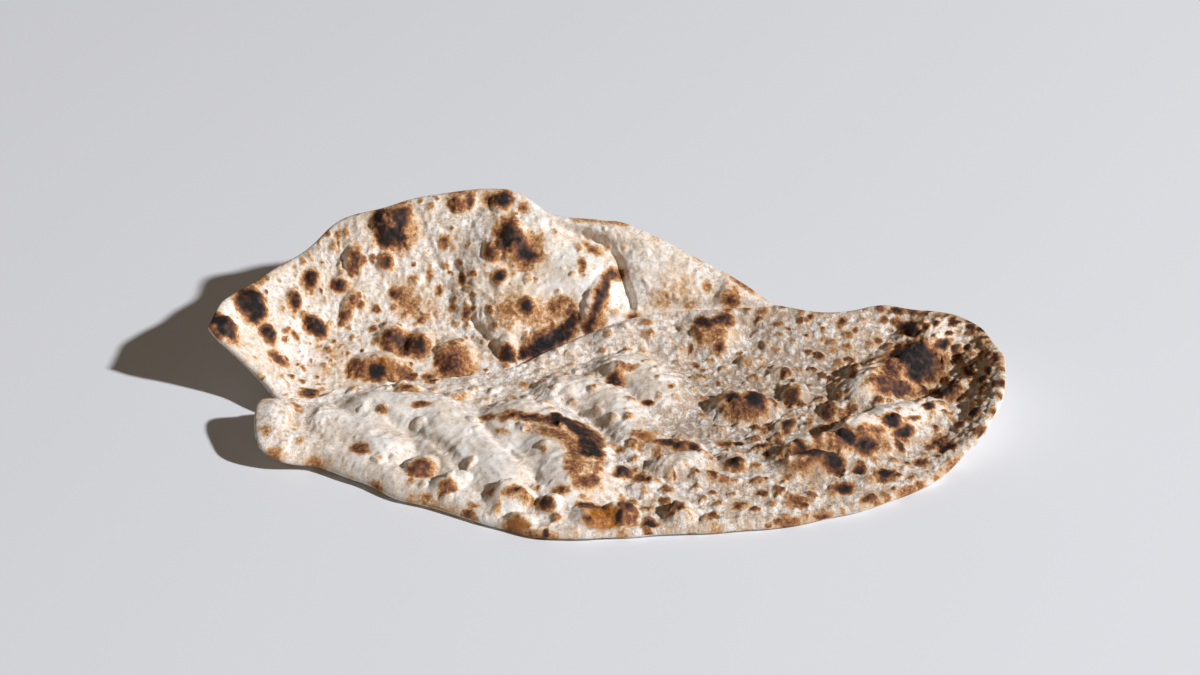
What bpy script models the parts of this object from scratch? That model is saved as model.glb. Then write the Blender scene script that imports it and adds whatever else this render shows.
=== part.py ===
"""Tandoori roti: one round, blistered flatbread cut across, its two halves shingled.

The halves lie as the bread sags: flat in the middle, curling up at the back and at both ends.
The back half is the lower one. The front half lies over its cut edge and covers it.
Every form is laid out in plan, in millimetres, and lifted square to the sagging surface.
"""

import math

import bmesh
import bpy
import numpy as np
from mathutils import Vector, geometry, noise

MM = 0.001

# Driving dimensions in millimetres.
# The bread rests on a flat patch, bends up over BEND and goes on at a rise of SLOPE.
FLAT_LEFT = -100.0
FLAT_RIGHT = 118.0
FLAT_BACK = -10.0
FLAT_FRONT = -95.0
BEND = 36.0
SLOPE = 1.0
FRONT_EASE = 0.5

BACK_THICKNESS = 3.2
FRONT_THICKNESS = 3.9
LAYER_GAP = 0.6
LIFT_START = 4.0
LIFT_RUN = 26.0

RIM_RADIUS = 2.2
CUT_RADIUS = 0.8
RIM_WOBBLE = 0.9
RIM_WOBBLE_LENGTH = 15.0

# The plan's middle, which becomes the origin.
MIDDLE_X = 2.62
MIDDLE_Y = -23.24

# Where the front half presses on the back half: how far past its outline, and over what run it stops.
TUCK = 0.8
TUCK_RUN = 3.5

# Sizes of the net of triangles: its steps, the first row in from the outline, and the closest points.
TOP_STEP = 3.7
UNDER_STEP = 8.0
RING_STEP = 4.6
FIRST_ROW = 1.2
CLOSEST = 1.7
# Shares of a step that are kept between rows, from the outline to the grid, and between grid and rows.
ROW_SHARE = 0.8
OUTLINE_SHARE = 0.45
TOP_SHARE = 0.62
UNDER_SHARE = 0.5
# The rings of points on a blister's side: how far out, and how many points.
BLISTER_RINGS = ((0.55, 6), (0.95, 9))
# How far out a burnt blister is dark, and the angle from which an edge stays crisp.
BURNT_SHARE = 0.6
CRISP_ANGLE = 60.0

# How crisply puffs meet, and how far in from the rim and from the cut the relief has its full height.
MERGE = 6.0
RELIEF_START = 3.4
CUT_RELIEF_START = 2.5

# The rims run from the left corner round the outside, and the cuts run back to it.
BACK_RIM = (
    (-149, -11), (-148, -2), (-144, 10), (-134, 25), (-119, 38), (-103, 50), (-81, 55),
    (-61, 58.6), (-38, 59.7), (-20, 53), (0, 50.8), (11, 49.6), (34, 41.2), (52, 34.6),
    (71, 23.8), (86, 6), (93, -22), (94, -44), (88, -64),
)
BACK_CUT = (
    (88, -64), (60, -68), (0, -68), (-60, -58), (-100, -42), (-121, -27), (-129, -19),
    (-138, -15), (-145, -13.5), (-149, -11),
)
FRONT_RIM = (
    (-123, -32), (-129.5, -37), (-129, -49), (-126, -59), (-118, -62.5), (-104, -62), (-89, -70),
    (-74, -80), (-58, -87), (-40, -96), (-20, -104.5), (0, -104.5), (30, -102), (62, -98),
    (94, -88), (123, -69), (146, -45), (153, -28), (154, -10), (150, 5), (141, 17.5),
    (126, 24), (111, 26), (89, 23), (67, 25),
)
FRONT_CUT = (
    (67, 25), (44, 24), (25, 23), (8, 20), (-8, 14), (-22, 7), (-34, -1),
    (-56, -8), (-79, -12), (-97, -15), (-108, -23), (-123, -32),
)

# Puffs where the dough parted into pockets: plan route, half width, height.
BACK_PUFFS = (
    (((-36, 24), (-20, 29), (-6, 29)), 17.0, 7.5),
    (((-46, 28), (-40, 42), (-22, 44)), 14.0, 4.5),
    (((-22, 51), (-5, 49), (8, 46), (18, 43)), 4.0, 2.4),
    (((18, 36), (30, 33), (44, 28), (61, 24)), 11.0, 3.0),
    (((-121, 17), (-105, 28), (-93, 40)), 15.0, 1.8),
    (((-101, 6), (-85, 11), (-67, 8)), 15.0, 2.2),
)
FRONT_PUFFS = (
    (((-104, -40), (-90, -46), (-79, -57)), 13.0, 4.2),
    (((-84, -33), (-64, -37), (-53, -51), (-43, -66), (-34, -77)), 18.0, 6.0),
    (((-30, -44), (-18, -53), (-13, -68), (-10, -80)), 21.0, 7.0),
    (((-14, -21), (-1, -24), (8, -37), (13, -49)), 14.0, 5.2),
    (((9, -7), (18, -14), (22, -25)), 17.0, 6.5),
    (((3, 13), (20, 15), (28, 11)), 8.0, 3.2),
    (((90, -57), (102, -47), (116, -37), (124, -33)), 14.0, 7.0),
    (((103, -21), (111, -10), (119, 0), (129, 8)), 17.0, 9.0),
    (((-124, -42), (-121, -54), (-106, -56), (-90, -62), (-76, -72), (-58, -81), (-38, -89)), 7.0, 2.4),
    (((67, 15), (87, 13), (104, 13)), 9.0, 2.2),
)

# Blisters: centre, length, width, turn in degrees, height. The last value is 1 where the top is burnt.
BACK_BLISTERS = (
    (-145, -6, 13, 10, 25, 2.6, 1),
    (-136, 14, 14, 10, 65, 3.6, 1),
    (-129, 7, 8, 8, 0, 2.2, 1),
    (-120, 24, 8, 7, 0, 2.2, 1),
    (-113, 32, 9, 7, 20, 2.4, 1),
    (-111, 18, 11, 9, -10, 3.0, 1),
    (-102, 32, 9, 6, 0, 2.0, 1),
    (-98, 25, 12, 7, 60, 2.4, 1),
    (-97, 39, 9, 8, 80, 2.8, 1),
    (-84, 38, 8, 8, 0, 2.4, 1),
    (-82, 49, 18, 14, -10, 4.0, 1),
    (-54, 55, 13, 7, 0, 2.2, 1),
    (-39, 55, 10, 7, 0, 2.2, 1),
    (-42, 41, 9, 8, 0, 2.4, 1),
    (-34, 43, 14, 14, 0, 3.4, 1),
    (-81, 15, 14, 13, 0, 3.6, 1),
    (-70, 13, 12, 12, 0, 3.4, 1),
    (-56, 7, 18, 20, 0, 5.0, 0),
    (-85, 2, 27, 15, 0, 4.2, 1),
    (-36, 10, 9, 10, 0, 3.4, 1),
    (-24, 13, 18, 10, 25, 3.0, 1),
    (-2, 25, 20, 9, 65, 2.6, 1),
    (13, 22, 8, 8, 0, 2.8, 1),
    (50, 27, 12, 9, 0, 2.4, 0),
)
FRONT_BLISTERS = (
    (-73, -18, 14, 10, 0, 3.0, 0),
    (-53, -22, 12, 8, 0, 2.5, 0),
    (-65, -69, 15, 12, 0, 4.2, 0),
    (-54, -79, 17, 9, 10, 3.5, 0),
    (-32, -88, 19, 12, 0, 5.0, 1),
    (-18, -92, 10, 8, 0, 3.4, 0),
    (-29, -97, 13, 8, 0, 2.8, 0),
    (6, -13, 10, 10, 25, 2.6, 1),
    (43, 14, 27, 23, 0, 6.0, 1),
    (57, 1, 10, 11, 0, 2.2, 0),
    (69, -6, 11, 12, 30, 2.4, 0),
    (54, -32, 31, 22, 0, 7.0, 1),
    (74, -22, 15, 12, 80, 4.4, 0),
    (68, -44, 12, 9, 40, 3.0, 0),
    (28, -58, 26, 10, 5, 3.8, 1),
    (30, -69, 30, 15, 10, 4.6, 0),
    (49, -67, 13, 11, 0, 3.4, 1),
    (76, -66, 32, 22, 0, 6.0, 1),
    (76, -62, 24, 7, 8, 2.4, 1),
    (38, -76, 15, 7, 0, 2.4, 0),
    (7, -74, 12, 7, 0, 3.0, 1),
    (15, -82, 13, 7, 10, 2.4, 0),
    (8, -95, 14, 12, 0, 5.0, 0),
    (-3, -97, 17, 11, 0, 3.0, 1),
    (29, -95, 14, 12, 20, 4.8, 0),
    (97, -6, 7, 14, 0, 3.0, 0),
    (87, -33, 12, 12, 0, 3.4, 0),
    (94, -51, 18, 12, -10, 2.4, 1),
    (137, -23, 16, 9, 20, 3.8, 1),
    (144, -4, 10, 7, 0, 2.8, 0),
    (121, 0, 19, 24, 0, 2.6, 1),
    (123, 17, 16, 7, 0, 2.6, 1),
)

# Low waves all over, from the rolling and stretching by hand.
WAVE_LENGTH = 34.0
WAVE_HEIGHT = 0.9
LUMP_LENGTH = 9.0
LUMP_HEIGHT = 0.45
BACK_SEED = 3.7
FRONT_SEED = 8.2

CREAM = (0.78, 0.69, 0.57, 1.0)
CRUMB = (0.74, 0.64, 0.50, 1.0)
SCORCH = (0.07, 0.035, 0.02, 1.0)
FLOURY_ROUGHNESS = 0.85
SCORCHED_ROUGHNESS = 0.5


def eased(share):
    """0 to 1 with level ends."""
    share = np.clip(share, 0.0, 1.0)
    return share * share * (3.0 - 2.0 * share)


def lie(plan):
    """Height of the surface that the bread sags onto."""
    across = np.maximum(np.maximum(FLAT_LEFT - plan[:, 0], plan[:, 0] - FLAT_RIGHT), 0.0)
    behind = np.maximum(plan[:, 1] - FLAT_BACK, 0.0)
    before = np.maximum(FLAT_FRONT - plan[:, 1], 0.0)
    out = np.hypot(across, behind + FRONT_EASE * before)
    knee = BEND * SLOPE
    return np.where(out < knee, out * out / (2.0 * BEND), knee * SLOPE / 2.0 + SLOPE * (out - knee))


def placed(plan, height):
    """Points at a height above the sagging surface, square to it, in metres from the origin."""
    reach = 0.5
    step_x = np.array((reach, 0.0))
    step_y = np.array((0.0, reach))
    rise_x = (lie(plan + step_x) - lie(plan - step_x)) / (2.0 * reach)
    rise_y = (lie(plan + step_y) - lie(plan - step_y)) / (2.0 * reach)
    normal = np.column_stack((-rise_x, -rise_y, np.ones(len(plan))))
    normal /= np.linalg.norm(normal, axis=1)[:, None]
    base = np.column_stack((plan, lie(plan)))
    return (base + normal * height[:, None] - np.array((MIDDLE_X, MIDDLE_Y, 0.0))) * MM


def smooth_line(points, step):
    """A line through the points, bending evenly, with a point about every step."""
    knots = np.array(points, float)
    before = np.vstack((2.0 * knots[0] - knots[1], knots[:-1]))
    after = np.vstack((knots[1:], 2.0 * knots[-1] - knots[-2]))
    share = np.linspace(0.0, 1.0, 24, endpoint=False)[:, None]
    pieces = []
    for i in range(len(knots) - 1):
        a, b, c, d = before[i], knots[i], knots[i + 1], after[i + 1]
        bend = (c - a) * share + (2 * a - 5 * b + 4 * c - d) * share**2
        pieces.append(b + 0.5 * (bend + (3 * b - a - 3 * c + d) * share**3))
    dense = np.vstack(pieces + [knots[-1:]])
    run = np.concatenate(((0.0,), np.cumsum(np.hypot(*np.diff(dense, axis=0).T))))
    at = np.linspace(0.0, run[-1], max(2, round(run[-1] / step)) + 1)
    return np.column_stack((np.interp(at, run, dense[:, 0]), np.interp(at, run, dense[:, 1])))


def distance_to(line, plan):
    """How far each point of the plan is from a line."""
    nearest = np.full(len(plan), np.inf)
    for start, end in zip(line[:-1], line[1:]):
        along = end - start
        share = np.clip((plan - start) @ along / (along @ along), 0.0, 1.0)
        gap = plan - start - share[:, None] * along
        nearest = np.minimum(nearest, np.hypot(gap[:, 0], gap[:, 1]))
    return nearest


def is_inside(ring, plan):
    """True for each point of the plan that lies inside a closed ring."""
    found = np.zeros(len(plan), bool)
    for (x0, y0), (x1, y1) in zip(ring, np.roll(ring, -1, axis=0)):
        if y0 == y1:
            continue
        crosses = (y0 > plan[:, 1]) != (y1 > plan[:, 1])
        found ^= crosses & (plan[:, 0] < x0 + (plan[:, 1] - y0) * (x1 - x0) / (y1 - y0))
    return found


def offset(ring, by):
    """The ring moved outwards, or inwards where by is negative. It runs anticlockwise."""
    along = np.roll(ring, -1, axis=0) - np.roll(ring, 1, axis=0)
    along /= np.hypot(along[:, 0], along[:, 1])[:, None]
    return ring + by * np.column_stack((along[:, 1], -along[:, 0]))


def even_points(ring, step):
    """Points of a triangular pattern that fall inside the ring."""
    low = ring.min(axis=0)
    high = ring.max(axis=0)
    row_gap = step * math.sqrt(0.75)
    rows = []
    for i, y in enumerate(np.arange(low[1], high[1], row_gap)):
        x = np.arange(low[0] + (i % 2) * step / 2.0, high[0], step)
        rows.append(np.column_stack((x, np.full(len(x), y))))
    plan = np.vstack(rows)
    return plan[is_inside(ring, plan)]


def apart(points, more, gap):
    """Points and those of more that keep the gap to all points before them."""
    kept = list(points)
    for point in more:
        if not kept or np.hypot(*(np.array(kept) - point).T).min() > gap:
            kept.append(point)
    return np.array(kept)


def on_blister(blister, plan):
    """How far out each point lies from a blister's centre: 1 at its foot."""
    x, y, length, width, turn = blister[:5]
    turned = math.radians(turn)
    gap = plan - np.array((x, y))
    along = gap[:, 0] * math.cos(turned) + gap[:, 1] * math.sin(turned)
    side = gap[:, 1] * math.cos(turned) - gap[:, 0] * math.sin(turned)
    return np.hypot(along / (length / 2.0), side / (width / 2.0))


def waves(plan, length, salt):
    """Smooth unevenness between -1 and 1, with this wavelength."""
    return np.array([noise.noise(Vector((x / length, y / length, salt))) for x, y in plan])


def relief(plan, puffs, blisters, salt):
    """Height of the puffs, blisters and low waves over the plain sheet."""
    swell = np.zeros(len(plan))
    for route, half_width, height in puffs:
        out = distance_to(smooth_line(route, 2.0), plan) / half_width
        swell += (height * np.clip(1.0 - out * out, 0.0, 1.0) ** 1.5) ** MERGE
    swell = swell ** (1.0 / MERGE)
    for blister in blisters:
        out = np.clip(on_blister(blister, plan), 0.0, 1.0)
        swell += blister[5] * (1.0 - out**3) ** 1.5
    uneven = WAVE_HEIGHT * waves(plan, WAVE_LENGTH, salt) + LUMP_HEIGHT * waves(plan, LUMP_LENGTH, salt)
    return swell + uneven


class Half:
    """One half of the bread: its outline in plan and what stands up from it."""

    def __init__(self, rim, cut, thickness, puffs, blisters, salt):
        rim = smooth_line(rim, RING_STEP)
        self.rim = offset(rim, RIM_WOBBLE * waves(rim, RIM_WOBBLE_LENGTH, salt)[:, None])
        self.cut = smooth_line(cut, RING_STEP)
        self.rim[0] = self.cut[-1]
        self.rim[-1] = self.cut[0]
        ring = np.vstack((self.rim[:-1], self.cut[:-1]))
        area = (ring[:, 0] * np.roll(ring[:, 1], -1) - np.roll(ring[:, 0], -1) * ring[:, 1]).sum()
        self.ring = ring if area > 0 else ring[::-1]
        self.thickness = thickness
        self.puffs = puffs
        self.blisters = blisters
        self.salt = salt

    def depth(self, plan):
        """Distance in from the outline, negative outside it."""
        gap = distance_to(np.vstack((self.ring, self.ring[:1])), plan)
        return np.where(is_inside(self.ring, plan), gap, -gap)

    def edge(self, plan):
        """0 at the outline and 1 where the full thickness is reached: round rim, crisp cut."""
        near_rim = distance_to(self.rim, plan)
        near_cut = distance_to(self.cut, plan)
        share = np.clip(np.minimum(near_rim / RIM_RADIUS, near_cut / CUT_RADIUS), 0.0, 1.0)
        return np.sqrt(1.0 - (1.0 - share) ** 2)

    def top(self, plan, lift, freed):
        """Upper face above the sagging surface. freed is 0 where the other half presses on it."""
        from_rim = distance_to(self.rim, plan) / RELIEF_START
        from_cut = distance_to(self.cut, plan) / CUT_RELIEF_START
        easing = eased(np.minimum(from_rim, from_cut))
        raised = relief(plan, self.puffs, self.blisters, self.salt) * easing * freed
        return lift + self.thickness * (0.5 + 0.5 * self.edge(plan)) + raised

    def under(self, plan, lift):
        """Lower face above the sagging surface."""
        return lift + self.thickness * (0.5 - 0.5 * self.edge(plan))


def skin(shape, ring, ring_verts, inner, creases, height, faces_up):
    """Fill the ring with triangles through the inner points, and lift them."""
    plan = np.vstack((ring, inner))
    closed = [list(range(len(ring)))]
    net = geometry.delaunay_2d_cdt([Vector(point) for point in plan], creases, closed, 1, 1e-6)
    flat = np.array([tuple(point) for point in net[0]])
    spots = placed(flat, height(flat))
    verts = []
    for spot, sources in zip(spots, net[3]):
        on_ring = [i for i in sources if i < len(ring)]
        verts.append(ring_verts[on_ring[0]] if on_ring else shape.verts.new(spot))
    for face in net[2]:
        corners = [verts[i] for i in face]
        shape.faces.new(corners if faces_up else corners[::-1])


def blister_points(blisters):
    """The centre of each blister and two rings on its side, so that the net follows it."""
    points = []
    for x, y, length, width, turn, *_ in blisters:
        turned = math.radians(turn)
        points.append((x, y))
        for out, count in BLISTER_RINGS:
            for i in range(count):
                angle = 2.0 * math.pi * i / count
                along = out * length / 2.0 * math.cos(angle)
                side = out * width / 2.0 * math.sin(angle)
                spot_x = x + along * math.cos(turned) - side * math.sin(turned)
                spot_y = y + along * math.sin(turned) + side * math.cos(turned)
                points.append((spot_x, spot_y))
    return points


def tuck_line(half, other):
    """Points just outside the other half's outline, where it starts to press on this one."""
    line = offset(other.ring, TUCK)
    kept = half.depth(line) > FIRST_ROW + CLOSEST
    links = [(i, (i + 1) % len(line)) for i in range(len(line)) if kept[i] and kept[(i + 1) % len(line)]]
    used = sorted({i for link in links for i in link})
    number = {old: new for new, old in enumerate(used)}
    return line[used], [(number[a], number[b]) for a, b in links]


def material(name, colour, roughness):
    """A plain crust material of one colour."""
    made = bpy.data.materials.new(name)
    made.use_nodes = True
    shader = made.node_tree.nodes["Principled BSDF"]
    shader.inputs["Base Color"].default_value = colour
    shader.inputs["Roughness"].default_value = roughness
    shader.inputs["Metallic"].default_value = 0.0
    made.diffuse_color = colour
    return made


def build_half(name, half, lift, freed, tuck, crust, scorch, collection):
    """A closed thin body: the blistered upper skin and the plain lower skin share the outline."""
    shape = bmesh.new()
    ring = half.ring
    middle = lift(ring) + 0.5 * half.thickness
    ring_verts = [shape.verts.new(spot) for spot in placed(ring, middle)]

    rows = offset(ring, -FIRST_ROW)
    rows = rows[half.depth(rows) > ROW_SHARE * FIRST_ROW]
    tuck_points, tuck_links = tuck
    inner = apart(list(tuck_points), rows, CLOSEST * 0.5)
    marks = np.array(blister_points(half.blisters))
    marks = marks[half.depth(marks) > FIRST_ROW + CLOSEST * 0.6]
    inner = apart(inner, marks, CLOSEST)
    grid = even_points(ring, TOP_STEP)
    grid = grid[half.depth(grid) > FIRST_ROW + TOP_STEP * OUTLINE_SHARE]
    inner = apart(inner, grid, TOP_STEP * TOP_SHARE)
    links = [(a + len(ring), b + len(ring)) for a, b in tuck_links]
    skin(shape, ring, ring_verts, inner, links, lambda p: half.top(p, lift(p), freed(p)), True)

    rows = offset(ring, -FIRST_ROW)[::2]
    rows = rows[half.depth(rows) > ROW_SHARE * FIRST_ROW]
    grid = even_points(ring, UNDER_STEP)
    grid = grid[half.depth(grid) > FIRST_ROW + UNDER_STEP * OUTLINE_SHARE]
    inner = apart(list(rows), grid, UNDER_STEP * UNDER_SHARE)
    skin(shape, ring, ring_verts, inner, [], lambda p: half.under(p, lift(p)), False)

    shape.normal_update()
    faces = [face for face in shape.faces if face.normal.z > 0.0]
    middles = np.array([face.calc_center_median()[:2] for face in faces]) / MM
    middles += np.array((MIDDLE_X, MIDDLE_Y))
    for blister in half.blisters:
        if blister[6]:
            for i in np.nonzero(on_blister(blister, middles) < BURNT_SHARE)[0]:
                faces[i].material_index = 1

    mesh = bpy.data.meshes.new(name)
    shape.to_mesh(mesh)
    shape.free()
    mesh.materials.append(crust)
    mesh.materials.append(scorch)
    mesh.shade_smooth()
    mesh.set_sharp_from_angle(angle=math.radians(CRISP_ANGLE))
    made = bpy.data.objects.new(name, mesh)
    collection.objects.link(made)
    return made


def main():
    """Clears the scene and builds the two halves."""
    for old in list(bpy.data.objects):
        bpy.data.objects.remove(old, do_unlink=True)
    bread = bpy.data.collections.new("tandoori_roti")
    bpy.context.scene.collection.children.link(bread)

    back = Half(BACK_RIM, BACK_CUT, BACK_THICKNESS, BACK_PUFFS, BACK_BLISTERS, BACK_SEED)
    front = Half(
        FRONT_RIM, FRONT_CUT, FRONT_THICKNESS, FRONT_PUFFS, FRONT_BLISTERS, FRONT_SEED
    )

    def lie_low(plan):
        """The back half lies on the sagging surface itself."""
        return np.zeros(len(plan))

    def lie_over(plan):
        """The front half climbs onto the back half and comes down past its outline."""
        out = np.maximum(-back.depth(plan), 0.0)
        return (BACK_THICKNESS + LAYER_GAP) * (1.0 - eased((out - LIFT_START) / LIFT_RUN))

    def clear_of_front(plan):
        """0 where the front half presses on the back half, and 1 clear of it."""
        return eased((-front.depth(plan) - TUCK) / TUCK_RUN)

    def all_free(plan):
        """Nothing presses on the front half."""
        return np.ones(len(plan))

    no_tuck = (np.empty((0, 2)), [])
    scorch = material("scorched_crust", SCORCH, SCORCHED_ROUGHNESS)
    back_crust = material("floury_crust_back", CRUMB, FLOURY_ROUGHNESS)
    front_crust = material("floury_crust_front", CREAM, FLOURY_ROUGHNESS)
    under_front = tuck_line(back, front)
    build_half("roti_back_half", back, lie_low, clear_of_front, under_front, back_crust, scorch, bread)
    build_half("roti_front_half", front, lie_over, all_free, no_tuck, front_crust, scorch, bread)


main()
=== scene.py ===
"""Looks of a tandoori roti: one round flatbread cut across, its two halves shingled.

Lengths are millimetres in plan, seen from above, unless a name says otherwise.
"""

import math

import bpy
import numpy as np
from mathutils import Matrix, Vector, geometry, kdtree, noise


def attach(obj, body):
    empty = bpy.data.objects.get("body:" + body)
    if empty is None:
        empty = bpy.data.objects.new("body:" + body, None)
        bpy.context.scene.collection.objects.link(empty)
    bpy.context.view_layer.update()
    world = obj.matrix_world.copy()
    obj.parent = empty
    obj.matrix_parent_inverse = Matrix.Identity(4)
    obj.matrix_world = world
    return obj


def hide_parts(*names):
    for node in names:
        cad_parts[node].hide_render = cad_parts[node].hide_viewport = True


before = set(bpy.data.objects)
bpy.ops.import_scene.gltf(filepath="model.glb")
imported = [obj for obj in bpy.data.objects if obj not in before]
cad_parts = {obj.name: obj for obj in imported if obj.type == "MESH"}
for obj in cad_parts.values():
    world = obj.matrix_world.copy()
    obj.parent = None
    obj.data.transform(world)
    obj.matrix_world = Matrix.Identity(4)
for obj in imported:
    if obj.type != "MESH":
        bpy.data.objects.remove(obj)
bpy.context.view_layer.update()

MM = 0.001

# The back half
# The lower half of the bread: a thin wholewheat sheet, slapped on the wall of a clay oven and blistered
# there. It lies flat in front and leans up at the back, and the front half covers its cut edge.
# It rests on a flat patch, bends up over BEND and goes on at a rise of SLOPE.
FLAT_LEFT = -100.0
FLAT_RIGHT = 118.0
FLAT_BACK = -10.0
FLAT_FRONT = -95.0
BEND = 36.0
SLOPE = 1.0
FRONT_EASE = 0.5
# The plan's middle, which is the origin.
MIDDLE = np.array((2.62, -23.24, 0.0))

BACK_THICKNESS = 3.2
RIM_RADIUS = 2.2
CUT_RADIUS = 0.8
RIM_WOBBLE = 0.9
RIM_WOBBLE_LENGTH = 15.0
# The net of triangles: its row in from the outline, how far that and the other points keep off what is
# there, and the steps between points.
EDGE_ROW = 0.25
ROW_SHARE = 0.8
ROW_CLEARANCE = 0.3
OUTLINE_STEP = 0.9
BACK_TOP_STEP = 0.5
COVERED_STEP = 2.0
BACK_UNDER_STEP = 1.2
FLAT_UNDER_STEP = 3.0
# Where the bread lies lower than this, its underside is out of sight and gets the wide steps.
BACK_UNDER_SEEN = 0.5
# How far past its outline the front half presses on this one, and over what run it stops.
TUCK = 0.8
TUCK_RUN = 3.5

BACK_RIM = (
    (-149, -11), (-148, -2), (-144, 10), (-134, 25), (-119, 38), (-103, 50), (-81, 55),
    (-61, 58.6), (-38, 59.7), (-20, 53), (0, 50.8), (11, 49.6), (34, 41.2), (52, 34.6),
    (71, 23.8), (86, 6), (93, -22), (94, -44), (88, -64),
)
BACK_CUT = (
    (88, -64), (60, -68), (0, -68), (-60, -58), (-100, -42), (-121, -27), (-129, -19),
    (-138, -15), (-145, -13.5), (-149, -11),
)
# Pockets where the two skins of the dough parted: plan route, half width, height.
BACK_PUFFS = (
    (((-36, 24), (-20, 29), (-6, 29)), 17.0, 7.5),
    (((-46, 28), (-40, 42), (-22, 44)), 14.0, 4.5),
    (((-22, 51), (-5, 49), (8, 46), (18, 43)), 4.0, 2.4),
    (((18, 36), (30, 33), (44, 28), (61, 24)), 11.0, 3.0),
    (((-121, 17), (-105, 28), (-93, 40)), 15.0, 1.8),
    (((-101, 6), (-85, 11), (-67, 8)), 15.0, 2.2),
)
# Creases between the pockets: plan route, half width, depth.
BACK_CREASES = (
    (((-20, 48), (-12, 47), (-4, 45), (3, 42), (7, 38), (10, 32), (12, 26), (12, 19)), 2.8, 2.8),
    (((-71, 50), (-67, 42), (-63, 38), (-56, 37), (-53, 28)), 2.2, 0.7),
    (((-51, 31), (-49, 21), (-42, 12)), 2.2, 1.2),
)
# Blisters: centre, length, width, turn in degrees, height.
BACK_BLISTERS = (
    (-145, -6, 13, 10, 25, 2.6), (-136, 14, 14, 10, 65, 3.6), (-129, 7, 8, 8, 0, 2.2),
    (-120, 24, 8, 7, 0, 2.2), (-113, 32, 9, 7, 20, 2.4), (-111, 18, 11, 9, -10, 3.0),
    (-102, 32, 9, 6, 0, 2.0), (-98, 25, 12, 7, 60, 2.4), (-97, 39, 9, 8, 80, 2.8), (-84, 38, 8, 8, 0, 2.4),
    (-82, 49, 18, 14, -10, 4.0), (-54, 55, 13, 7, 0, 2.2), (-39, 55, 10, 7, 0, 2.2),
    (-42, 41, 9, 8, 0, 2.4), (-34, 43, 14, 14, 0, 3.4), (-81, 15, 14, 13, 0, 3.6),
    (-70, 13, 12, 12, 0, 3.4), (-56, 7, 18, 20, 0, 5.0), (-85, 2, 27, 15, 0, 4.2),
    (-36, 10, 9, 10, 0, 3.4), (-24, 13, 18, 10, 25, 3.0), (-2, 25, 20, 9, 65, 2.6), (13, 22, 8, 8, 0, 2.8),
    (50, 27, 12, 9, 0, 2.4), (-28, 24, 9, 8, 0, 2.0), (-39, 33, 9, 7, 15, 1.8),
)
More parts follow.
